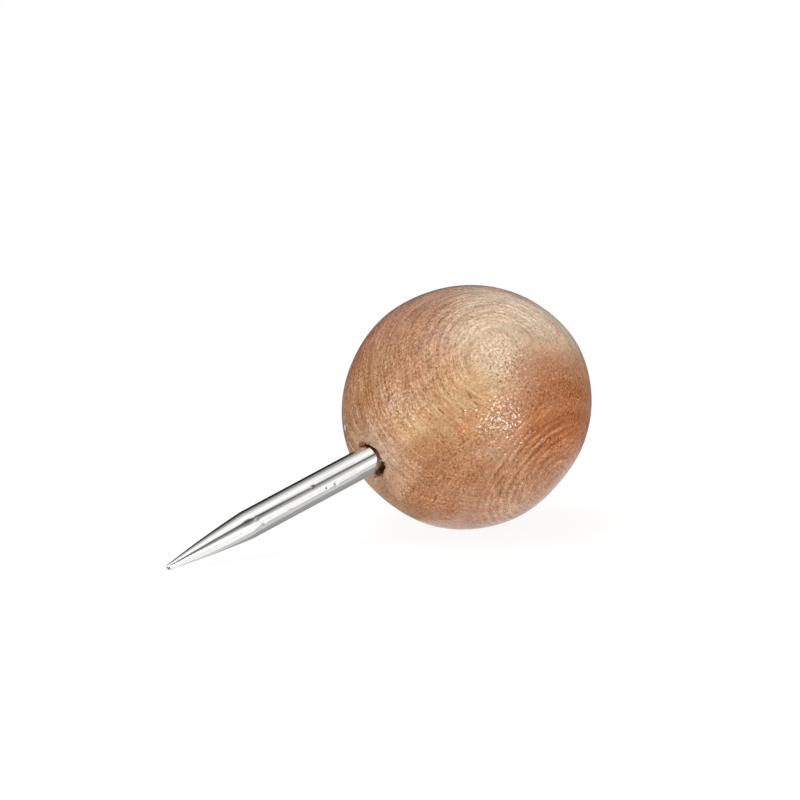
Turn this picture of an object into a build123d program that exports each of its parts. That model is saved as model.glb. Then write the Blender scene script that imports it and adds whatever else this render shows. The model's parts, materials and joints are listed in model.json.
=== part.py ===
from build123d import *

import os
from math import radians, sqrt, tan

# A push pin: a turned wooden ball on a steel needle, held by glue in a drilled hole.
# Millimetres, +Z up. The needle points straight down. The origin is on the needle's axis at
# the ball's underside, where the face of a board meets the pin.

# Driving dimensions of the wooden ball
ball_diameter = 10.0  # across the needle
ball_length = 10.5  # along the needle: the turning left the ball a little oblong
mouth_bevel = 0.13  # worn bevel round the mouth of the drilled hole
drill_point_angle = 118.0  # full angle of the drill that made the hole, in degrees

# Driving dimensions of the steel needle
needle_diameter = 1.2
exposed_length = 10.0  # from the ball's underside to the tip
point_length = 4.0  # ground part of the exposed length
point_bulge = 0.04  # how far the ground point swells beyond a straight cone at half its length
tip_diameter = 0.24
tang_length = 6.0  # buried in the ball
tang_end_diameter = 1.0  # the tang tapers, so that it centres itself in the hole
tang_chamfer = 0.15

# Driving dimensions of the glue, which are also the fits between needle and hole
glue_thickness = 0.2  # round the needle at the mouth
glue_behind_tang = 0.3
glue_recess = 0.3  # from the mouth's bevel down to the glue

# Radii and heights that follow
ball_radius = ball_diameter / 2
ball_half_length = ball_length / 2
needle_radius = needle_diameter / 2
tip_radius = tip_diameter / 2
tang_end_radius = tang_end_diameter / 2

hole_radius = needle_radius + glue_thickness
mouth_radius = hole_radius + mouth_bevel
mouth_height = ball_half_length * (1 - sqrt(1 - (mouth_radius / ball_radius) ** 2))
bevel_top = mouth_height + mouth_bevel
hole_depth = tang_length + glue_behind_tang
hole_bottom = hole_depth + hole_radius / tan(radians(drill_point_angle / 2))
glue_start = bevel_top + glue_recess

tip_height = -exposed_length
tip_round_end = tip_height + tip_radius
shoulder_height = tip_height + point_length

# Steel needle: rounded tip, slightly bulged ground point, straight shank and tapered tang
with BuildPart() as steel_needle:
    with BuildSketch(Plane.XZ):
        with BuildLine():
            CenterArc((0, tip_round_end), tip_radius, -90, 90)
            ThreePointArc(
                (tip_radius, tip_round_end),
                (
                    (tip_radius + needle_radius) / 2 + point_bulge,
                    (tip_round_end + shoulder_height) / 2,
                ),
                (needle_radius, shoulder_height),
            )
            Polyline(
                (needle_radius, shoulder_height),
                (needle_radius, 0),
                (tang_end_radius, tang_length),
                (0, tang_length),
                (0, tip_height),
            )
        make_face()
    revolve(axis=Axis.Z)
    tang_rim = steel_needle.edges().filter_by(GeomType.CIRCLE).sort_by(Axis.Z)[-1]
    chamfer(tang_rim, tang_chamfer)

# Wooden ball: a round ball stretched a little along Z, with a drilled blind hole whose mouth is
# bevelled by wear
with BuildPart() as wooden_ball:
    with Locations((0, 0, ball_radius)):
        Sphere(ball_radius)
    scale(by=(1, 1, ball_length / ball_diameter))
    with BuildSketch(Plane.XZ):
        with BuildLine():
            Polyline(
                (0, 0),
                (mouth_radius + mouth_height, 0),
                (hole_radius, bevel_top),
                (hole_radius, hole_depth),
                (0, hole_bottom),
                close=True,
            )
        make_face()
    revolve(axis=Axis.Z, mode=Mode.SUBTRACT)

# Glue bond: fills the hole round and behind the tang, and stops short of the mouth
with BuildPart() as glue_bond:
    with BuildSketch(Plane.XZ):
        with BuildLine():
            Polyline(
                (0, glue_start),
                (hole_radius, glue_start),
                (hole_radius, hole_depth),
                (0, hole_bottom),
                close=True,
            )
        make_face()
    revolve(axis=Axis.Z)
    add(steel_needle.part, mode=Mode.SUBTRACT)

steel_needle.part.label = "steel_needle"
wooden_ball.part.label = "wooden_ball"
glue_bond.part.label = "glue_bond"

os.makedirs("parts", exist_ok=True)
export_step(steel_needle.part, "parts/steel_needle.step")
export_step(wooden_ball.part, "parts/wooden_ball.step")
export_step(glue_bond.part, "parts/glue_bond.step")
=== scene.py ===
import json
from math import asin, cos, degrees, hypot, pi, radians, sin, sqrt, tan

import bmesh
import bpy
from bpy.props import FloatProperty, FloatVectorProperty, PointerProperty
from bpy.types import Operator, Panel, PropertyGroup
from mathutils import Matrix, Vector


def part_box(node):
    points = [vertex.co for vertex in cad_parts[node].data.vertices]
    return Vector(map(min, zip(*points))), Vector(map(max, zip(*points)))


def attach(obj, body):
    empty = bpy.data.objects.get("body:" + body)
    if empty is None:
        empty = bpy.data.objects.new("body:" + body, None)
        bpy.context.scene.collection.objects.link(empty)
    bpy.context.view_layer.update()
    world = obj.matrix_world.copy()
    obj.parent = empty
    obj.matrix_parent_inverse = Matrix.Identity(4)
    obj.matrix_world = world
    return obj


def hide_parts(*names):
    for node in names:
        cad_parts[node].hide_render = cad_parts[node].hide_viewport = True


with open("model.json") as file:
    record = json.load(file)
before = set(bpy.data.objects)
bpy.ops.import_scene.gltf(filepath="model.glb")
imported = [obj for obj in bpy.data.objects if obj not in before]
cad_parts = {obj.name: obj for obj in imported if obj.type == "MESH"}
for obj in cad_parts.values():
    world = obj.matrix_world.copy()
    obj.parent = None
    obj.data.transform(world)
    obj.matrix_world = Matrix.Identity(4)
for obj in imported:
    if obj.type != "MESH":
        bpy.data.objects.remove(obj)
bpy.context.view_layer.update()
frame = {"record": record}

bl_info = {
    "name": "Wooden Ball Push Pin",
    "version": (1, 0, 0),
    "blender": (4, 5, 0),
    "location": "3D View > Sidebar > Push Pin",
    "description": "Models a push pin: a turned wooden ball, a steel needle and the glue between them",
    "category": "Object",
}

MM = 0.001
BALL_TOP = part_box("wooden_ball")[1]
NEEDLE_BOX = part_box("steel_needle")
GLUE_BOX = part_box("glue_bond")
SHANK = frame["record"]["mounts"][0]["dims"]

# The photograph is square. These pixels say where the ball is in it.
PHOTO_PIXELS = 800
BALL_PIXELS = 242.46
BALL_CENTRE_PIXEL = (466.8, 407.2)


def srgb(red, green, blue):
    """Turn a colour as a screen shows it, from 0 to 255, into the light it stands for."""
    parts = (red / 255, green / 255, blue / 255)
    return tuple(p / 12.92 if p <= 0.04045 else ((p + 0.055) / 1.055) ** 2.4 for p in parts)


def length(name, description, default):
    """A length that the user may change."""
    return FloatProperty(
        name=name, description=description, default=default, min=0, precision=6, unit="LENGTH"
    )


def angle(name, description, in_degrees):
    """An angle that the user may change."""
    return FloatProperty(
        name=name, description=description, default=radians(in_degrees), subtype="ANGLE"
    )


def colour(name, description, red, green, blue):
    """A colour that the user may change, given as a screen shows it."""
    return FloatVectorProperty(
        name=name,
        description=description,
        default=srgb(red, green, blue),
        min=0,
        max=1,
        subtype="COLOR",
    )


class BallSettings(PropertyGroup):
    """Sizes and colours of the wooden ball."""

    radius: length("Radius", "Half the ball's width across the needle", BALL_TOP.x)
    half_length: length("Half length", "Half the ball's length along the needle", BALL_TOP.z / 2)
    hole_radius: length("Hole radius", "Radius of the drilled hole", GLUE_BOX[1].x)
    mouth_bevel: length("Mouth bevel", "Worn bevel round the hole's mouth", 0.13 * MM)
    hole_bottom: length("Hole bottom", "Height of the drill point's end", GLUE_BOX[1].z)
    drill_angle: angle("Drill angle", "Full angle of the drill point", 118)
    brown: colour("Brown wood", "Darker wood of the growth layers", 167, 114, 73)
    tan: colour("Tan wood", "Middle tone of the growth layers", 181, 130, 90)
    yellow: colour("Yellow wood", "Light layer through the middle", 205, 164, 120)
    gold: colour("Golden wood", "Layer below the light one", 190, 141, 96)
    dusk: colour("Dull wood", "Greyer wood among the growth rings", 181, 136, 104)
    buff: colour("Buff wood", "Dry wood beside the drilled hole", 199, 158, 128)
    red: colour("Red heartwood", "Reddish patch beside the light layer", 171, 105, 61)
    pale: colour("Pale sapwood", "Sapwood at the end grain", 225, 198, 169)
    pore: colour("Pores", "Stain in the pores", 134, 76, 46)
    # Painted shade: the hole's wall is coloured darker and redder than the ball's wood.
    hole_shade: colour("Shaded hole wood", "Bare wood inside the drilled hole", 150, 80, 54)


class NeedleSettings(PropertyGroup):
    """Sizes and colours of the steel needle."""

    radius: length("Radius", "Radius of the straight shank", SHANK["r_mm"] * MM)
    shank: length("Shank", "Straight length below the ball", SHANK["length_mm"] * MM)
    reach: length("Reach", "Length from the ball's underside to the tip", -NEEDLE_BOX[0].z)
    point_bulge: length("Point bulge", "Swelling of the ground point at half its length", 0.04 * MM)
    tip_radius: length("Tip radius", "Rounding of the tip", 0.12 * MM)
    tang: length("Tang", "Length buried in the ball", NEEDLE_BOX[1].z)
    tang_end_radius: length("Tang end", "Radius of the tang's end", 0.5 * MM)
    tang_chamfer: length("Tang chamfer", "Chamfer of the tang's end", 0.15 * MM)
    steel: colour("Steel", "Bright plating", 248, 247, 245)
    streak: colour("Streaks", "Duller lines along the drawn wire", 176, 175, 172)


class GlueSettings(PropertyGroup):
    """Sizes and colour of the glue bond."""

    start: length("Start", "Height of the glue's face in the hole", GLUE_BOX[0].z)
    hollow: length("Hollow", "How far the glue's face sinks between needle and hole", 0.06 * MM)
    amber: colour("Amber", "Cured glue", 96, 64, 38)


class StageSettings(PropertyGroup):
    """Camera and the way the pin lies, as the photograph has them."""

    distance: length("Camera distance", "From the ball's middle to the camera", 300 * MM)
    elevation: angle("Camera elevation", "Height of the camera above the table", 12.2)
    heading: angle("Needle heading", "How far the needle points left of the camera", 57.36)
    table_turn: angle("Table turn", "Side of the pin that lies on the table", -45)


# How the pin lies and where the camera stands


class Viewpoint:
    """The pin lies on the table on ball and tip. Axes as the photograph shows them."""

    def __init__(self, scene):
        ball = scene.pin_ball
        needle = scene.pin_needle
        stage = scene.pin_stage
        self.centre = Vector((0, 0, ball.half_length))
        lean = 0.0
        for _ in range(8):
            self.support = hypot(ball.radius * cos(lean), ball.half_length * sin(lean))
            arm = ball.half_length + needle.reach - needle.tip_radius
            lean = asin((self.support - needle.tip_radius) / arm)
        side = Vector((cos(stage.table_turn), sin(stage.table_turn), 0))
        self.table = side * cos(lean) + Vector((0, 0, sin(lean)))
        along = (side * sin(lean) - Vector((0, 0, cos(lean)))).normalized()
        ahead = Matrix.Rotation(stage.heading, 3, self.table) @ along
        self.back = ahead * cos(stage.elevation) + self.table * sin(stage.elevation)
        self.right = self.table.cross(self.back).normalized()
        self.up = self.back.cross(self.right)

    def seen(self, right, up, back):
        """A direction given as the photograph shows it."""
        return (self.right * right + self.up * up + self.back * back).normalized()

    def round_needle(self, turn):
        """Direction out of the needle, turned in degrees from the line that faces the camera.

        A turn above nothing goes towards the needle's upper edge.
        """
        down = Vector((0, 0, -1))
        facing = (self.back - down * self.back.dot(down)).normalized()
        return facing * cos(radians(turn)) + down.cross(facing) * sin(radians(turn))

    def mirrored(self, turn):
        """Direction that the camera sees mirrored in the straight shank there."""
        return (-self.back).reflect(self.round_needle(turn))


# Modelling helpers


def even(low, high, steps):
    """Values in even steps from a low one to a high one, with both ends."""
    return [low + (high - low) * step / steps for step in range(steps + 1)]


def start_profile(radius, height):
    """Begin a profile in the XZ plane: a small square merged to one point."""
    bpy.ops.object.select_all(action="DESELECT")
    bpy.ops.mesh.primitive_plane_add(size=MM, location=(0, 0, 0))
    bpy.ops.object.mode_set(mode="EDIT")
    bpy.ops.mesh.select_mode(type="VERT")
    bpy.ops.mesh.merge(type="CENTER")
    bpy.ops.transform.translate(value=(radius, 0, height))
    return bpy.context.edit_object


def extrude_through(points, start):
    """Extrude the profile's selected end through points of radius and height."""
    before = start
    for radius, height in points:
        step = (radius - before[0], 0, height - before[1])
        bpy.ops.mesh.extrude_vertices_move(TRANSFORM_OT_translate={"value": step})
        before = (radius, height)


def spin_profile(steps):
    """Turn the profile round the pin's axis into a closed skin that faces outwards."""
    bpy.ops.mesh.select_all(action="SELECT")
    bpy.ops.mesh.spin(steps=steps, angle=2 * pi, center=(0, 0, 0), axis=(0, 0, 1))
    bpy.ops.mesh.select_all(action="SELECT")
    bpy.ops.mesh.remove_doubles(threshold=0.001 * MM)
    bpy.ops.mesh.normals_make_consistent(inside=False)


def select_where(test):
    """Select the vertices whose place passes a test. There has to be one."""
    skin = bmesh.from_edit_mesh(bpy.context.edit_object.data)
    for vertex in skin.verts:
        vertex.select_set(test(vertex.co))
    skin.select_flush_mode()
    bmesh.update_edit_mesh(bpy.context.edit_object.data)
    if not any(vertex.select for vertex in skin.verts):
        raise RuntimeError("no vertex to select")


def move_selected(shift, reach):
    """Move the selected vertices, and what lies within reach of them by less."""
    bpy.ops.transform.translate(
        value=shift,
        use_proportional_edit=True,
        proportional_edit_falloff="SMOOTH",
        proportional_size=reach,
    )


def push(place, shift, reach):
    """Move the surface at a place, and what lies within reach of it by less."""
    skin = bmesh.from_edit_mesh(bpy.context.edit_object.data)
    nearest = min(skin.verts, key=lambda vertex: (vertex.co - place).length_squared)
    target = nearest.co.copy()
    select_where(lambda co: (co - target).length < 0.001 * MM)
    move_selected(shift, reach)


def finish_piece(piece, name, node, material):
    """Name a finished piece, give it its finish, attach it to the root body and hide the CAD part that it
    stands for.
    """
    bpy.ops.object.mode_set(mode="OBJECT")
    bpy.ops.object.shade_smooth_by_angle(angle=radians(40))
    piece.name = name
    piece.data.name = name
    piece.data.materials.append(material)
    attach(piece, "root")
    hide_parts(node)


# Material helpers


class Nodes:
    """Adds nodes to a tree, with each input set or linked by name or number."""

    def __init__(self, tree):
        self.tree = tree

    def add(self, kind, inputs=None, **settings):
        node = self.tree.nodes.new("ShaderNode" + kind)
        for name, value in settings.items():
            setattr(node, name, value)
        for socket, value in (inputs or {}).items():
            self.feed(node.inputs[socket], value)
        return node

    def feed(self, socket, value):
        if isinstance(value, bpy.types.NodeSocket):
            self.tree.links.new(value, socket)
        else:
            socket.default_value = value

    def math(self, operation, first, second=0.0, third=0.0):
        node = self.add("Math", {0: first, 1: second, 2: third}, operation=operation)
        return node.outputs[0]

    def vector(self, operation, first, second=(0, 0, 0)):
        node = self.add("VectorMath", {0: first, 1: second}, operation=operation)
        return node.outputs["Value" if operation in {"DOT_PRODUCT", "LENGTH", "DISTANCE"} else "Vector"]

    def parts(self, vector):
        return self.add("SeparateXYZ", {0: vector}).outputs

    def combine(self, x, y, z):
        return self.add("CombineXYZ", {0: x, 1: y, 2: z}).outputs[0]

    def place_in_mm(self, middle=(0, 0, 0)):
        """The place on a piece in mm, measured from a middle that is given in metres."""
        where = self.vector("SUBTRACT", self.add("TexCoord").outputs["Object"], middle)
        return self.add("VectorMath", {0: where, "Scale": 1 / MM}, operation="SCALE").outputs[0]

    def noise(self, vector, scale, detail=2.0, roughness=0.5):
        inputs = {"Vector": vector, "Scale": scale, "Detail": detail, "Roughness": roughness}
        return self.add("TexNoise", inputs).outputs["Fac"]

    def spread(self, value, low, high, to_low=0.0, to_high=1.0):
        """Spread a range of values smoothly over another one, and stop at its ends."""
        inputs = {0: value, 1: low, 2: high, 3: to_low, 4: to_high}
        return self.add("MapRange", inputs, interpolation_type="SMOOTHSTEP").outputs[0]

    def between(self, factor, first, second):
        """A value between two others."""
        return self.add("Mix", {0: factor, 2: first, 3: second}).outputs[0]

    def mix(self, factor, first, second):
        """A colour between two others."""
        inputs = {0: factor, 6: first, 7: second}
        return self.add("Mix", inputs, data_type="RGBA").outputs[2]

    def ramp(self, factor, stops):
        """Colours along a value, as pairs of place and colour."""
        node = self.add("ValToRGB", {0: factor})
        elements = node.color_ramp.elements
        while len(elements) < len(stops):
            elements.new(0.5)
        for element, (place, shade) in zip(elements, stops):
            element.position = place
            element.color = opaque(shade)
        return node.outputs[0]

    def bump(self, strength, distance, height):
        """A normal for fine relief."""
        inputs = {"Strength": strength, "Distance": distance, "Height": height}
        return self.add("Bump", inputs).outputs[0]


def new_material(name):
    """A new material with its Principled shader."""
    material = bpy.data.materials.new(name)
    material.use_nodes = True
    return material, material.node_tree.nodes["Principled BSDF"]


def bare_material(name):
    """A new material without any shader, and the helper that adds its nodes."""
    material = bpy.data.materials.new(name)
    material.use_nodes = True
    material.node_tree.nodes.clear()
    return material, Nodes(material.node_tree)


def opaque(shade):
    """A colour with full alpha, as a socket takes it."""
    return (*shade, 1)


# Wood


class Wood(Nodes):
    """Nodes of the ball's wood. Places are in mm from the ball's middle.

    Circles round an axis are given as two coordinates across it and the angle from it.
    """

    def __init__(self, tree, ball, view):
        super().__init__(tree)
        self.ball = ball
        self.view = view
        self.place = self.place_in_mm(view.centre)
        self.outward = self.vector("NORMALIZE", self.place)
        self.slow = self.noise(self.place, 0.30, 2.0)
        self.unrest = self.math("SUBTRACT", self.slow, 0.5)
        # The grain runs along the turning marks of the lathe or along the growth rings
        self.turning = self.circles_round(view.seen(0.27, 0.42, 0.87))
        self.ring_pole = view.seen(0.71, -0.60, 0.375)
        self.rings = self.circles_round(self.ring_pole)
        self.off_axis = self.spread(self.turning[2], 0.10, 0.42)
        self.turned_lines = self.streaks(self.turning, 0.7, 7.5, 2.0, 0.6)
        fray = self.math("SUBTRACT", self.turned_lines, 0.5)
        self.fringe = self.math("MULTIPLY", fray, self.off_axis)

    def circles_round(self, axis):
        """Place on the circles round an axis."""
        to_upright = axis.rotation_difference(Vector((0, 0, 1))).to_euler()
        turned = self.add("Mapping", {0: self.place, 2: to_upright}).outputs[0]
        across_x, across_y, _ = self.parts(turned)
        return across_x, across_y, self.math("ARCCOSINE", self.vector("DOT_PRODUCT", self.outward, axis))

    def streaks(self, circles, along, across, detail, roughness):
        """Noise stretched along circles, with its waves for each mm along and across them."""
        across_x, across_y, turn = circles
        stretched = self.combine(
            self.math("MULTIPLY", across_x, along),
            self.math("MULTIPLY", across_y, along),
            self.math("MULTIPLY", turn, across * self.ball.radius / MM),
        )
        return self.noise(stretched, 1.0, detail, roughness)

    def patch(self, pole, inner, outer, fray=0.0):
        """Soft patch about a pole of the ball, frayed slowly and along the turning marks."""
        frayed = self.vector("DOT_PRODUCT", self.outward, pole)
        if fray:
            frayed = self.math("MULTIPLY_ADD", self.unrest, fray, frayed)
            frayed = self.math("MULTIPLY_ADD", self.fringe, fray, frayed)
        return self.spread(frayed, cos(radians(outer)), cos(radians(inner)))

    def stroke(self, start, end, width):
        """Thin line over the ball from one direction to another, with its width in mm."""
        middle = (start + end).normalized()
        half = degrees(start.angle(end)) / 2
        aside = self.vector("DOT_PRODUCT", self.place, start.cross(end).normalized())
        line = self.spread(self.math("ABSOLUTE", aside), width / 2, width / 4)
        return self.math("MULTIPLY", line, self.patch(middle, half * 0.9, half))

    def lighten(self, shade, light):
        """A colour made lighter or darker by one step in all its parts, as a screen shows them."""
        step = self.math("MULTIPLY_ADD", light, 0.46, -0.46)
        shown = self.add("Gamma", {0: shade, 1: 1 / 2.2}).outputs[0]
        lifted = self.vector("ADD", shown, self.combine(step, step, step))
        return self.add("Gamma", {0: lifted, 1: 2.2}).outputs[0]

    def growth_layers(self):
        """Depth in the growth layers, which waver a little, and their colours with the patches."""
        ball = self.ball
        seen = self.view.seen
        depth = self.vector("DOT_PRODUCT", self.place, seen(0.58, -0.75, 0.32))
        depth = self.math("MULTIPLY_ADD", self.unrest, 0.8, depth)
        shade = self.ramp(
            self.math("MULTIPLY_ADD", depth, 0.1, 0.5),
            (
                (0.05, ball.red),
                (0.25, ball.tan),
                (0.42, ball.tan),
                (0.57, ball.yellow),
                (0.71, ball.gold),
                (0.83, ball.dusk),
                (0.97, ball.brown),
            ),
        )
        for pole, inner, outer, tone in (
            (seen(0.52, 0.60, 0.61), 8, 49, ball.pale),
            # The second pale patch, on the upper-right edge, is partly sapwood and partly painted sheen:
            # the edge is lighter where it mirrors the white surroundings.
            (seen(0.75, 0.66, 0.05), 5, 25, ball.pale),
            (seen(0.79, 0.01, 0.62), 9, 43, ball.red),
            (seen(-0.17, -0.67, 0.73), 3, 32, ball.brown),
            (seen(0.16, -0.85, 0.50), 2, 27, ball.dusk),
            (seen(-0.02, 0.05, 1.0), 2, 13, ball.yellow),
            (seen(-0.72, -0.36, 0.59), 3, 25, ball.buff),
        ):
            shade = self.mix(self.patch(pole, inner, outer, 0.15), shade, opaque(tone))
        return depth, shade

    def stain(self, shade):
        """Mottling in the stain, and a hue that wanders between red and olive."""
        mottle = self.streaks(self.turning, 0.9, 1.7, 2.0, 0.5)
        shade = self.mix(self.spread(mottle, 0.45, 0.75, 0, 0.35), shade, opaque(self.ball.red))
        hue = self.streaks(self.turning, 0.8, 1.5, 1.0, 0.5)
        tint = self.mix(self.spread(hue, 0.3, 0.7), (1.03, 0.98, 0.93, 1), (0.98, 1.01, 1.01, 1))
        return self.vector("MULTIPLY", shade, tint)

    def growth_rings(self):
        """Where the growth rings show, and the rings, which grow narrower outwards."""
        by_rings = self.math(
            "MULTIPLY",
            self.patch(self.ring_pole, 37, 47, 0.1),
            self.patch(self.view.seen(0.42, -0.62, 0.66), 28, 42, 0.1),
        )
        from_pole = self.rings[2]
        wobble = self.math("MULTIPLY", self.noise(self.place, 0.7, 2.0), 0.5)
        count = self.math("MULTIPLY_ADD", from_pole, 8.8, 6.8)
        count = self.math("MULTIPLY_ADD", count, from_pole, wobble)
        from_line = self.math("PINGPONG", self.math("SUBTRACT", count, 3.08), 0.5)
        every = self.add("TexWhiteNoise", {"W": self.math("ROUND", count)}, noise_dimensions="1D")
        ring = self.math("SUBTRACT", self.spread(from_line, 0.40, 0.06), 0.45)
        ring = self.math("MULTIPLY", ring, self.math("MULTIPLY_ADD", every.outputs[0], 0.6, 0.7))
        ring = self.math("MULTIPLY", ring, by_rings)
        ring = self.math("MULTIPLY", ring, self.spread(from_pole, 0.2, 0.45))
        return by_rings, ring

    def grain(self, depth, by_rings, ring):
        """Lightness of narrow growth layers, rings, lines and fine specks."""
        layer_place = self.combine(self.math("MULTIPLY", depth, 1.6), self.slow, 0.0)
        layers = self.math("SUBTRACT", self.noise(layer_place, 1.0, 3.0, 0.7), 0.5)
        light = self.math("MULTIPLY_ADD", layers, 0.6, 1.0)
        light = self.math("MULTIPLY_ADD", ring, 0.14, light)
        # At the lathe's axis and in the lower layers the grain has no direction
        ordered = self.math("MULTIPLY", self.off_axis, self.spread(depth, 0.0, 2.5, 1.0, 0.2))
        ordered = self.math("MAXIMUM", ordered, by_rings)
        ring_lines = self.streaks(self.rings, 1.2, 6.0, 2.0, 0.6)
        lines = self.between(by_rings, self.turned_lines, ring_lines)
        lines = self.math("MULTIPLY", self.math("SUBTRACT", lines, 0.5), ordered)
        light = self.math("ADD", lines, light)
        rough = self.between(ordered, 4.3, 3.2)
        return self.math("MULTIPLY_ADD", self.specks(by_rings, ordered), rough, light)

    def specks(self, by_rings, ordered):
        """Fine specks: few are strong and most are faint, and light ones are weaker than dark ones."""
        turned_specks = self.streaks(self.turning, 9.0, 16.0, 2.0, 0.8)
        ring_specks = self.streaks(self.rings, 9.0, 16.0, 2.0, 0.8)
        specks = self.between(by_rings, turned_specks, ring_specks)
        specks = self.between(ordered, self.noise(self.place, 10.5, 2.0, 0.8), specks)
        specks = self.math("SUBTRACT", specks, 0.5)
        strong = self.math("MULTIPLY_ADD", self.math("ABSOLUTE", specks), 5.6, 0.08)
        specks = self.math("MULTIPLY", specks, strong)
        return self.math("MINIMUM", specks, self.math("MULTIPLY", specks, 0.62))

    def pores(self):
        """Short dark dashes along the turning marks, in loose groups."""
        dashes = self.spread(self.streaks(self.turning, 3.5, 13.0, 1.0, 0.4), 0.62, 0.72)
        grouped = self.spread(self.noise(self.place, 1.1, 2.0), 0.35, 0.65, 0.1, 0.5)
        return self.math("MULTIPLY", dashes, self.math("MULTIPLY", grouped, self.off_axis))

    def single_marks(self, shade):
        """A pale scratch, a near-white painted glint at the left edge and dark flecks in the middle."""
        ball = self.ball
        seen = self.view.seen
        scratch = self.stroke(seen(-0.65, -0.54, 0.53), seen(-0.22, -0.75, 0.62), 0.10)
        broken = self.spread(self.noise(self.place, 12.0, 1.0), 0.48, 0.62)
        shade = self.mix(self.math("MULTIPLY", scratch, broken), shade, opaque(ball.pale))
        # Painted highlight: a small near-white spot on the left edge.
        painted_glint = self.patch(seen(-0.96, -0.16, 0.22), 0.9, 1.9)
        shade = self.mix(painted_glint, shade, (0.9, 0.88, 0.84, 1))
        for start, end in (
            (seen(0.00, 0.11, 0.99), seen(0.03, 0.07, 1.0)),
            (seen(0.05, 0.05, 1.0), seen(0.08, 0.02, 1.0)),
            (seen(-0.17, 0.12, 0.98), seen(-0.15, 0.10, 0.98)),
            (seen(-0.24, -0.01, 0.97), seen(-0.19, -0.05, 0.98)),
            (seen(-0.05, -0.03, 1.0), seen(-0.02, -0.04, 1.0)),
        ):
            fleck = self.math("MULTIPLY", self.stroke(start, end, 0.12), 0.7)
            shade = self.mix(fleck, shade, opaque(ball.pore))
        return shade

    def bare_shaded_hole(self):
        """How bare the wood is: there is no lacquer inside the hole. The same mask paints the hole's shade
        into the wood's colour.
        """
        hole_radius = self.ball.hole_radius / MM
        hole_end = (self.ball.hole_bottom - self.ball.half_length) / MM + 0.1
        from_axis = self.vector("LENGTH", self.vector("MULTIPLY", self.place, (1, 1, 0)))
        bare = self.spread(from_axis, 1.02 * hole_radius, 0.98 * hole_radius, 0, 0.9)
        return self.math("MULTIPLY", bare, self.math("LESS_THAN", self.parts(self.place)[2], hole_end))

    def orange_peel(self, pore, ring):
        """Relief of the lacquer, which sinks into the pores and follows the rings."""
        height = self.math("MULTIPLY_ADD", pore, -0.2, self.noise(self.place, 6.0, 0.8, 0.5))
        height = self.math("MULTIPLY_ADD", ring, 0.25, height)
        return self.bump(1.0, 0.050 * MM, height)


def wood_material(scene):
    """Lacquered wood: growth layers, sapwood, stain, growth rings, pores and orange peel."""
    ball = scene.pin_ball
    material, shader = new_material("lacquered_wood")
    wood = Wood(material.node_tree, ball, Viewpoint(scene))
    depth, shade = wood.growth_layers()
    shade = wood.stain(shade)
    by_rings, ring = wood.growth_rings()
    shade = wood.lighten(shade, wood.grain(depth, by_rings, ring))
    pore = wood.pores()
    shade = wood.mix(pore, shade, opaque(ball.pore))
    shade = wood.single_marks(shade)
    # Inside the hole the wood is bare and rough, and its colour is painted darker for the shade there.
    bare = wood.bare_shaded_hole()
    shade = wood.mix(bare, shade, opaque(ball.hole_shade))
    gloss = wood.spread(wood.noise(wood.place, 2.2, 3.0), 0.3, 0.7, 0.09, 0.18)
    wood.feed(shader.inputs["Base Color"], shade)
    wood.feed(shader.inputs["Roughness"], wood.math("MAXIMUM", gloss, bare))
    wood.feed(shader.inputs["Normal"], wood.orange_peel(pore, ring))
    return material


# Steel and glue


def steel_material(scene):
    """Bright plated wire with the fine lines that drawing left along it."""
    needle = scene.pin_needle
    material, shader = new_material("plated_steel")
    nodes = Nodes(material.node_tree)
    place = nodes.place_in_mm()
    height = nodes.parts(place)[2]
    around = nodes.vector("NORMALIZE", nodes.vector("MULTIPLY", place, (1, 1, 0)))
    around_x, around_y, _ = nodes.parts(around)

    def drawn(fineness, stretch):
        """Noise in lines along the wire, which close up towards the point."""
        stretched = nodes.combine(
            nodes.math("MULTIPLY", around_x, fineness),
            nodes.math("MULTIPLY", around_y, fineness),
            nodes.math("MULTIPLY", height, stretch),
        )
        return nodes.noise(stretched, 1.0, 2.0, 0.6)

    lines = drawn(9.0, 0.35)
    streak = nodes.spread(drawn(20.0, 0.30), 0.54, 0.68, 0, 0.6)
    shade = nodes.mix(streak, opaque(needle.steel), opaque(needle.streak))
    shader.inputs["Metallic"].default_value = 1.0
    nodes.feed(shader.inputs["Base Color"], shade)
    nodes.feed(shader.inputs["Roughness"], nodes.spread(lines, 0.35, 0.7, 0.06, 0.16))
    nodes.feed(shader.inputs["Normal"], nodes.bump(0.6, 0.0015 * MM, lines))
    return material


def glue_material(scene):
    """Cured amber glue with dust in it."""
    glue = scene.pin_glue
    material, shader = new_material("cured_glue")
    nodes = Nodes(material.node_tree)
    cloud = nodes.noise(nodes.place_in_mm(), 4.0, 3.0)
    dark = tuple(part * 0.4 for part in glue.amber)
    shade = nodes.mix(nodes.spread(cloud, 0.4, 0.65), opaque(glue.amber), opaque(dark))
    nodes.feed(shader.inputs["Base Color"], shade)
    nodes.feed(shader.inputs["Roughness"], nodes.spread(cloud, 0.3, 0.7, 0.25, 0.45))
    nodes.feed(shader.inputs["Normal"], nodes.bump(0.5, 0.02 * MM, cloud))
    return material


# Operators: one for each piece and one for the stage


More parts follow.
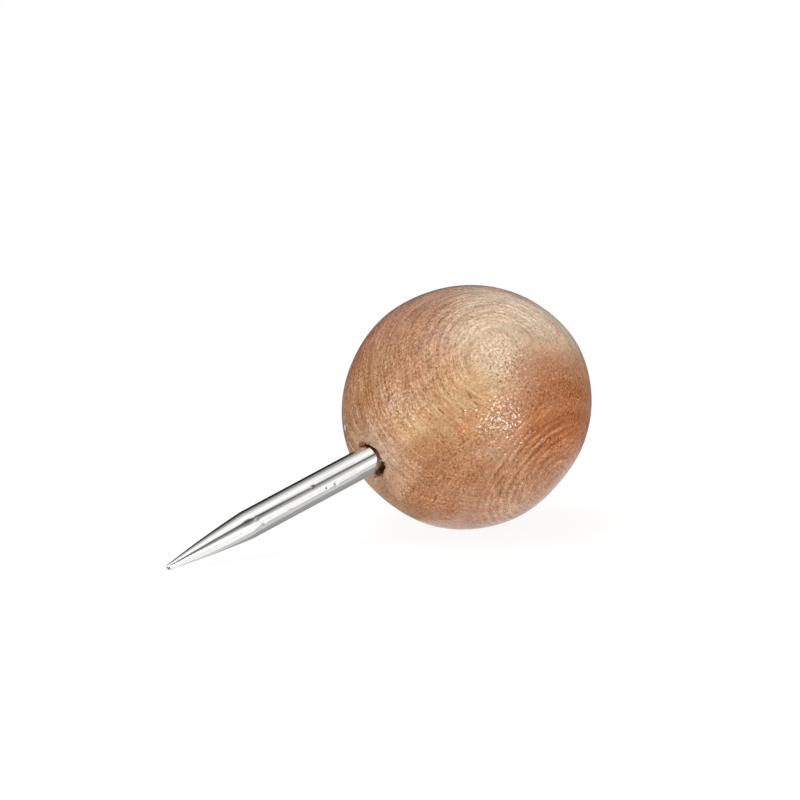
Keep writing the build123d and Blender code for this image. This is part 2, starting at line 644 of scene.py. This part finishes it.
class PUSHPIN_OT_turn_ball(Operator):
    """Turn the wooden ball with its drilled hole"""

    bl_idname = "push_pin.turn_ball"
    bl_label = "Turn Wooden Ball"

    def execute(self, context):
        ball = context.scene.pin_ball
        view = Viewpoint(context.scene)
        mouth = ball.hole_radius + ball.mouth_bevel
        mouth_height = ball.half_length * (1 - sqrt(1 - (mouth / ball.radius) ** 2))
        piece = self.start_half_round(ball, mouth)
        self.extrude_hole(ball, mouth, mouth_height)
        spin_profile(256)
        self.flatten_facets(ball, view)
        self.tear_mouth(mouth, mouth_height, view)
        finish_piece(
            piece, "turned_wooden_ball", "wooden_ball", wood_material(context.scene)
        )
        return {"FINISHED"}

    def start_half_round(self, ball, mouth):
        """Profile of the ball: one half of a stretched circle that ends at the hole's mouth."""
        hair = 0.01 * MM
        bpy.ops.object.select_all(action="DESELECT")
        bpy.ops.mesh.primitive_circle_add(
            vertices=360,
            radius=ball.radius,
            location=(0, 0, ball.half_length),
            rotation=(pi / 2, 0, 0),
        )
        bpy.ops.object.transform_apply()
        bpy.ops.object.mode_set(mode="EDIT")
        bpy.ops.mesh.select_mode(type="VERT")
        bpy.ops.transform.resize(
            value=(1, 1, ball.half_length / ball.radius), center_override=(0, 0, ball.half_length)
        )
        select_where(lambda co: co.x < -hair or (co.z < ball.half_length and co.x < mouth + hair))
        bpy.ops.mesh.delete(type="VERT")
        return bpy.context.edit_object

    def extrude_hole(self, ball, mouth, mouth_height):
        """Carry the profile on from its lowest end, through the bevel to the drill point's end."""
        hair = 0.01 * MM
        tear_row = 0.08 * MM
        bevel_top = mouth_height + ball.mouth_bevel
        hole_depth = ball.hole_bottom - ball.hole_radius / tan(ball.drill_angle / 2)
        skin = bmesh.from_edit_mesh(bpy.context.edit_object.data)
        low = min(skin.verts, key=lambda vertex: vertex.co.z).co.copy()
        select_where(lambda co: co.z < low.z + hair)
        points = [(mouth - worn, mouth_height + worn) for worn in even(0, ball.mouth_bevel, 4)]
        for row in range(1, 13):
            points.append((ball.hole_radius, bevel_top + tear_row * row))
        points.append((ball.hole_radius, hole_depth))
        points.append((0, ball.hole_bottom))
        extrude_through(points, (low.x, low.z))

    def flatten_facets(self, ball, view):
        """Hand sanding left the ball a little flat or full in places, given in mm."""
        for right, up, back, fullness in (
            (0.77, -0.64, 0.0, -0.09),
            (0.94, -0.30, 0.0, -0.04),
            (0.87, 0.50, 0.0, 0.05),
            (-0.68, 0.73, 0.0, 0.05),
            (-0.64, -0.77, 0.0, -0.08),
            (-0.3, 0.2, -0.9, -0.06),
        ):
            outward = view.seen(right, up, back)
            push(view.centre + outward * ball.radius, outward * fullness * MM, 2.4 * MM)

    def tear_mouth(self, mouth, mouth_height, view):
        """The drill pressed the hole's mouth in and tore it on the side that faces the camera."""
        hair = 0.02 * MM
        pressed = 0.16 * MM
        select_where(
            lambda co: abs(hypot(co.x, co.y) - mouth) < hair and abs(co.z - mouth_height) < hair
        )
        move_selected((0, 0, pressed), 0.9 * MM)

        def shift_rim(turn, out, sink, reach):
            """Shift the rim at a turn in degrees out from the needle and into the ball, in mm."""
            outward = view.round_needle(turn)
            rim = outward * mouth + Vector((0, 0, mouth_height + pressed))
            push(rim, outward * out * MM + Vector((0, 0, sink * MM)), reach * MM)

        shift_rim(42, -0.12, 0.0, 0.45)
        shift_rim(6, 0.08, 0.02, 0.35)
        shift_rim(-97, -0.16, 0.0, 0.45)
        # On the upper side the rim closes up on the needle
        shift_rim(60, -0.22, 0.0, 0.30)
        for turn in (80, 100, 120, 140):
            shift_rim(turn, -0.30, 0.0, 0.30)
        # On the lower side it is torn out, with three crumbs left in the tear
        shift_rim(-36, 0.18, 0.03, 0.45)
        shift_rim(-24, 0.18, 0.02, 0.12)
        shift_rim(-14, 0.10, 0.02, 0.10)
        shift_rim(-52, 0.10, 0.02, 0.12)
        for turn in (-20, -34, -46):
            shift_rim(turn, -0.11, 0.0, 0.08)


class PUSHPIN_OT_draw_needle(Operator):
    """Draw the steel needle with its ground point and its tang"""

    bl_idname = "push_pin.draw_needle"
    bl_label = "Draw Steel Needle"

    def execute(self, context):
        needle = context.scene.pin_needle
        round_end = -needle.reach + needle.tip_radius
        shoulder = -needle.shank
        points = []
        for turn in even(0, pi / 2, 8)[1:]:
            points.append(
                (needle.tip_radius * sin(turn), round_end - needle.tip_radius * cos(turn))
            )
        for share in even(0, 1, 24)[1:]:
            swell = needle.point_bulge * 4 * share * (1 - share)
            radius = needle.tip_radius + (needle.radius - needle.tip_radius) * share + swell
            points.append((radius, round_end + (shoulder - round_end) * share))
        for share in even(0, 1, 120)[1:]:
            points.append((needle.radius, shoulder * (1 - share)))
        points.append((needle.tang_end_radius, needle.tang - needle.tang_chamfer))
        points.append((needle.tang_end_radius - needle.tang_chamfer, needle.tang))
        points.append((0, needle.tang))

        piece = start_profile(0, -needle.reach)
        extrude_through(points, (0, -needle.reach))
        spin_profile(128)
        self.nick(needle, Viewpoint(context.scene))
        finish_piece(
            piece, "drawn_steel_needle", "steel_needle", steel_material(context.scene)
        )
        return {"FINISHED"}

    def nick(self, needle, view):
        """Small nicks from handling, each with its turn in degrees, and height, depth and reach in mm."""
        for turn, height, deep, reach in (
            (10, -6.10, 0.016, 0.22),
            (4, -5.75, 0.012, 0.14),
            (-30, -5.55, 0.014, 0.20),
            (-24, -1.85, 0.014, 0.16),
            (-20, -2.30, 0.010, 0.12),
            (12, -2.90, 0.008, 0.12),
            (-34, -4.20, 0.008, 0.14),
        ):
            outward = view.round_needle(turn)
            place = outward * needle.radius + Vector((0, 0, height * MM))
            push(place, -outward * deep * MM, reach * MM)


class PUSHPIN_OT_set_glue(Operator):
    """Fill the hole round the tang with glue"""

    bl_idname = "push_pin.set_glue"
    bl_label = "Set Glue Bond"

    def execute(self, context):
        ball = context.scene.pin_ball
        needle = context.scene.pin_needle
        glue = context.scene.pin_glue
        hole_depth = ball.hole_bottom - ball.hole_radius / tan(ball.drill_angle / 2)
        taper = (needle.radius - needle.tang_end_radius) / needle.tang
        inner = needle.radius - taper * glue.start
        points = [
            (needle.tang_end_radius - needle.tang_chamfer, needle.tang),
            (needle.tang_end_radius, needle.tang - needle.tang_chamfer),
            (inner, glue.start),
        ]
        for share in even(0, 1, 8)[1:]:
            sag = glue.hollow * 4 * share * (1 - share)
            points.append((inner + (ball.hole_radius - inner) * share, glue.start + sag))
        points.append((ball.hole_radius, hole_depth))
        points.append((0, ball.hole_bottom))

        piece = start_profile(0, needle.tang)
        extrude_through(points, (0, needle.tang))
        spin_profile(96)
        finish_piece(piece, "glue_fillet", "glue_bond", glue_material(context.scene))
        return {"FINISHED"}


class PUSHPIN_OT_set_stage(Operator):
    """Set up table, camera, lamps and surroundings"""

    bl_idname = "push_pin.set_stage"
    bl_label = "Set Stage"

    def execute(self, context):
        scene = context.scene
        view = Viewpoint(scene)
        self.add_camera(scene, view)
        self.add_table(view)
        self.add_lamps(view)
        self.add_cards(scene, view)
        self.set_world(scene, view)
        scene.view_settings.view_transform = "Standard"
        return {"FINISHED"}

    def add_camera(self, scene, view):
        """Camera that has the ball where the photograph has it."""
        stage = scene.pin_stage
        pixel = 2 * scene.pin_ball.radius / BALL_PIXELS
        aside = (BALL_CENTRE_PIXEL[0] - PHOTO_PIXELS / 2) * pixel
        below = (BALL_CENTRE_PIXEL[1] - PHOTO_PIXELS / 2) * pixel
        aim = view.centre - view.right * aside + view.up * below
        turn = Matrix((view.right, view.up, view.back)).transposed().to_euler()
        bpy.ops.object.camera_add(location=aim + view.back * stage.distance, rotation=turn)
        camera = bpy.context.object
        camera.data.lens = camera.data.sensor_width * stage.distance / (PHOTO_PIXELS * pixel)
        camera.data.clip_start = 10 * MM
        camera.data.clip_end = 2000 * MM
        scene.camera = camera

    def add_table(self, view):
        """Round table under ball and tip."""
        bpy.ops.object.select_all(action="DESELECT")
        bpy.ops.mesh.primitive_circle_add(
            vertices=128,
            radius=450 * MM,
            fill_type="NGON",
            location=view.centre - view.table * view.support,
            rotation=view.table.to_track_quat("Z", "Y").to_euler(),
        )
        table = bpy.context.object
        table.name = "table"
        table.data.materials.append(self.table_material(view))

    def table_material(self, view):
        """White table that also glows. Gloss mirrors it brightest near the ball; from below it is clear."""
        material, nodes = bare_material("white_table")
        path = nodes.add("LightPath").outputs
        place = nodes.add("NewGeometry").outputs
        gloss = path["Is Glossy Ray"]
        looked_at = nodes.math("MAXIMUM", gloss, path["Is Transmission Ray"])
        looked_at = nodes.math("MAXIMUM", path["Is Camera Ray"], looked_at)
        pale = nodes.mix(looked_at, (0.8, 0.8, 0.8, 1), (0.18, 0.18, 0.18, 1))
        matt = nodes.add("BsdfDiffuse", {"Color": pale})
        far = nodes.vector("DISTANCE", place["Position"], view.centre)
        white = nodes.between(gloss, 0.35, nodes.spread(far, 8 * MM, 15 * MM, 0.8, 0.08))
        white = nodes.between(path["Is Camera Ray"], white, 0.9)
        glow = nodes.add("Emission", {"Color": (1, 1, 1, 1), "Strength": white})
        lit = nodes.add("AddShader", {0: matt.outputs[0], 1: glow.outputs[0]})
        clear = nodes.add("BsdfTransparent")
        sides = {0: place["Backfacing"], 1: lit.outputs[0], 2: clear.outputs[0]}
        both = nodes.add("MixShader", sides)
        nodes.add("OutputMaterial", {"Surface": both.outputs[0]})
        return material

    def add_lamps(self, view):
        """Three lamps, each with its distance, width and height in mm and its power."""
        lamps = (
            ("front_lamp", view.seen(0.54, -0.20, 0.82), 90, 36, 22, 0.042),
            ("left_lamp", view.seen(-0.89, 0.05, 0.45), 160, 62, 62, 0.046),
            ("top_lamp", view.seen(-0.28, 0.92, 0.26), 160, 120, 120, 0.080),
        )
        for name, direction, distance, width, height, power in lamps:
            aside = view.table.cross(direction).normalized()
            turn = Matrix((aside, direction.cross(aside), direction)).transposed().to_euler()
            bpy.ops.object.light_add(
                type="AREA", location=view.centre + direction * distance * MM, rotation=turn
            )
            lamp = bpy.context.object
            lamp.name = name
            lamp.data.shape = "ELLIPSE"
            lamp.data.size = width * MM
            lamp.data.size_y = height * MM
            lamp.data.energy = power
            lamp.visible_camera = False

    def add_cards(self, scene, view):
        """Cards that the bright steel mirrors as stripes along it.

        Each stripe has its place in degrees round the needle, first on the shank and then on the
        ground point, and its shade.
        """
        reach = scene.pin_needle.reach
        shank = scene.pin_needle.shank
        far_stripes = [
            (89, 89, 0.01),
            (82, 82, 0.01),
            (64, 64, 0.02),
            (50, 50, 0.40),
            (38, 38, 0.85),
            (33, 33, 1.07),
            (22, 22, 1.05),
            (16, 16, 0.86),
            (11.5, 16, 0.30),
            (8.7, 11, 0.05),
            (4.5, 2, 0.42),
            (-1, -1, 0.58),
            (-9, -4, 1.08),
        ]
        table_stripes = [
            (-17.5, -17.5, 1.08),
            (-24, -40, 1.03),
            (-28, -41, 0.45),
            (-31, -42, 0.70),
            (-38, -55, 0.66),
            (-41, -62, 0.36),
            (-55, -70, 0.33),
            (-88, -88, 0.32),
        ]
        sleeve_stripes = [stripe for stripe in far_stripes + table_stripes if stripe[0] < 60]
        sleeve_radius = scene.pin_needle.radius + 0.03 * MM
        sleeve_start = -0.9 * MM

        def mirrored_row(stripes, height):
            """Where a card stands to be mirrored at a height. The stripes change along the point."""
            share = min(max((-shank - height) / (0.2 * reach), 0), 1)
            turns = [turn + (on_point - turn) * share for turn, on_point, _ in stripes]
            return [self.mirrored_place(view, turn, height) for turn in turns]

        def sleeve_place(turn, share):
            """Place on the sleeve, which stops short where the shank's end mirrors the ball."""
            end = (0.30 + 0.006 * min(turn + 9, 0)) * MM
            height = sleeve_start + (end - sleeve_start) * share
            return view.round_needle(turn) * sleeve_radius + Vector((0, 0, height))

        far = [mirrored_row(far_stripes, height) for height in even(-6 * reach, reach, 28)]
        on_table = [mirrored_row(table_stripes, height) for height in even(-reach, -0.5 * MM, 12)]
        # The ball would hide the cards from the last of the shank, so a sleeve repeats them
        sleeve = [[sleeve_place(turn, share) for turn, _, _ in sleeve_stripes] for share in even(0, 1, 4)]
        far_card = self.card_material("far_card", view.centre)
        near_card = self.card_material("near_card")
        self.add_card(scene, "far_card", far_stripes, far, 1, far_card)
        self.add_card(scene, "table_card", table_stripes, on_table, 1, near_card)
        self.add_card(scene, "sleeve_card", sleeve_stripes, sleeve, 0, near_card)

    def mirrored_place(self, view, turn, height):
        """Where the line of sight that the shank mirrors there meets the table or a far card."""
        start = Vector((0, 0, height))
        direction = view.mirrored(turn)
        fall = direction.dot(view.table)
        if fall > -0.004:
            return start + direction * 100 * MM
        above = (start - view.centre).dot(view.table) + view.support
        return start + direction * min((above - 0.05 * MM) / -fall, 300 * MM)

    def add_card(self, scene, name, stripes, rows, start_cover, material):
        """A card through rows of places, with one place for each stripe and a cover for its first row."""
        columns = len(stripes)
        shades = [shade for _, _, shade in stripes]
        faces = []
        for row in range(len(rows) - 1):
            for column in range(columns - 1):
                corner = row * columns + column
                faces.append((corner, corner + 1, corner + columns + 1, corner + columns))
        mesh = bpy.data.meshes.new(name)
        mesh.from_pydata([place for row in rows for place in row], [], faces)
        glow = mesh.attributes.new("shade", "FLOAT", "POINT")
        glow.data.foreach_set("value", shades * len(rows))
        cover = mesh.attributes.new("cover", "FLOAT", "POINT")
        cover.data.foreach_set("value", [start_cover] * columns + [1] * columns * (len(rows) - 1))
        card = bpy.data.objects.new(name, mesh)
        scene.collection.objects.link(card)
        card.data.materials.append(material)
        card.visible_camera = False
        card.visible_diffuse = False
        card.visible_shadow = False
        card.visible_transmission = False

    def card_material(self, name, ball_centre=None):
        """Shades across a card, clear where its cover is nothing.

        Where the ball's middle is given, the card is clear to the ball too: a line of sight from
        the ball's skin is shorter than the way to its middle.
        """
        material, nodes = bare_material(name)
        shade = nodes.add("Attribute", attribute_name="shade").outputs["Fac"]
        glow = nodes.add("Emission", {"Color": nodes.combine(shade, shade, shade)})
        cover = nodes.add("Attribute", attribute_name="cover").outputs["Fac"]
        if ball_centre is not None:
            here = nodes.add("NewGeometry").outputs["Position"]
            travelled = nodes.add("LightPath").outputs["Ray Length"]
            to_ball = nodes.math("SUBTRACT", nodes.vector("DISTANCE", here, ball_centre), 0.5 * MM)
            cover = nodes.math("MULTIPLY", cover, nodes.math("GREATER_THAN", travelled, to_ball))
        clear = nodes.add("BsdfTransparent")
        both = nodes.add("MixShader", {0: cover, 1: clear.outputs[0], 2: glow.outputs[0]})
        nodes.add("OutputMaterial", {"Surface": both.outputs[0]})
        return material

    def set_world(self, scene, view):
        """White surroundings, darker behind the pin where its edges mirror them."""
        world = bpy.data.worlds.new("white_surroundings")
        world.use_nodes = True
        scene.world = world
        nodes = Nodes(world.node_tree)
        background = world.node_tree.nodes["Background"]
        path = nodes.add("LightPath").outputs
        towards = nodes.add("TexCoord").outputs["Generated"]
        forward = nodes.vector("DOT_PRODUCT", towards, view.back)
        upward = nodes.vector("DOT_PRODUCT", towards, view.up)
        mirrored = nodes.spread(forward, -0.35, 0.1, 0.06, 1.0)
        mirrored = nodes.math("MAXIMUM", mirrored, nodes.spread(upward, 0.1, 0.6, 0.0, 0.8))
        strength = nodes.math("MULTIPLY_ADD", path["Is Camera Ray"], 0.53, 0.47)
        strength = nodes.between(path["Is Glossy Ray"], strength, mirrored)
        background.inputs["Color"].default_value = (1, 1, 1, 1)
        nodes.feed(background.inputs["Strength"], strength)


class PUSHPIN_PT_sidebar(Panel):
    """Lists the pieces of the push pin"""

    bl_label = "Push Pin"
    bl_space_type = "VIEW_3D"
    bl_region_type = "UI"
    bl_category = "Push Pin"

    def draw(self, context):
        groups = (
            (context.scene.pin_ball, PUSHPIN_OT_turn_ball),
            (context.scene.pin_needle, PUSHPIN_OT_draw_needle),
            (context.scene.pin_glue, PUSHPIN_OT_set_glue),
            (context.scene.pin_stage, PUSHPIN_OT_set_stage),
        )
        for settings, operator in groups:
            box = self.layout.box()
            for name in settings.__annotations__:
                box.prop(settings, name)
            box.operator(operator.bl_idname)


SETTINGS = {
    "pin_ball": BallSettings,
    "pin_needle": NeedleSettings,
    "pin_glue": GlueSettings,
    "pin_stage": StageSettings,
}
CLASSES = (
    *SETTINGS.values(),
    PUSHPIN_OT_turn_ball,
    PUSHPIN_OT_draw_needle,
    PUSHPIN_OT_set_glue,
    PUSHPIN_OT_set_stage,
    PUSHPIN_PT_sidebar,
)


def register():
    for known in CLASSES:
        bpy.utils.register_class(known)
    for name, settings in SETTINGS.items():
        setattr(bpy.types.Scene, name, PointerProperty(type=settings))


def unregister():
    for name in SETTINGS:
        delattr(bpy.types.Scene, name)
    for known in reversed(CLASSES):
        bpy.utils.unregister_class(known)


def main():
    register()
    bpy.ops.push_pin.set_stage()
    bpy.ops.push_pin.turn_ball()
    bpy.ops.push_pin.draw_needle()
    bpy.ops.push_pin.set_glue()


if __name__ == "__main__":
    main()
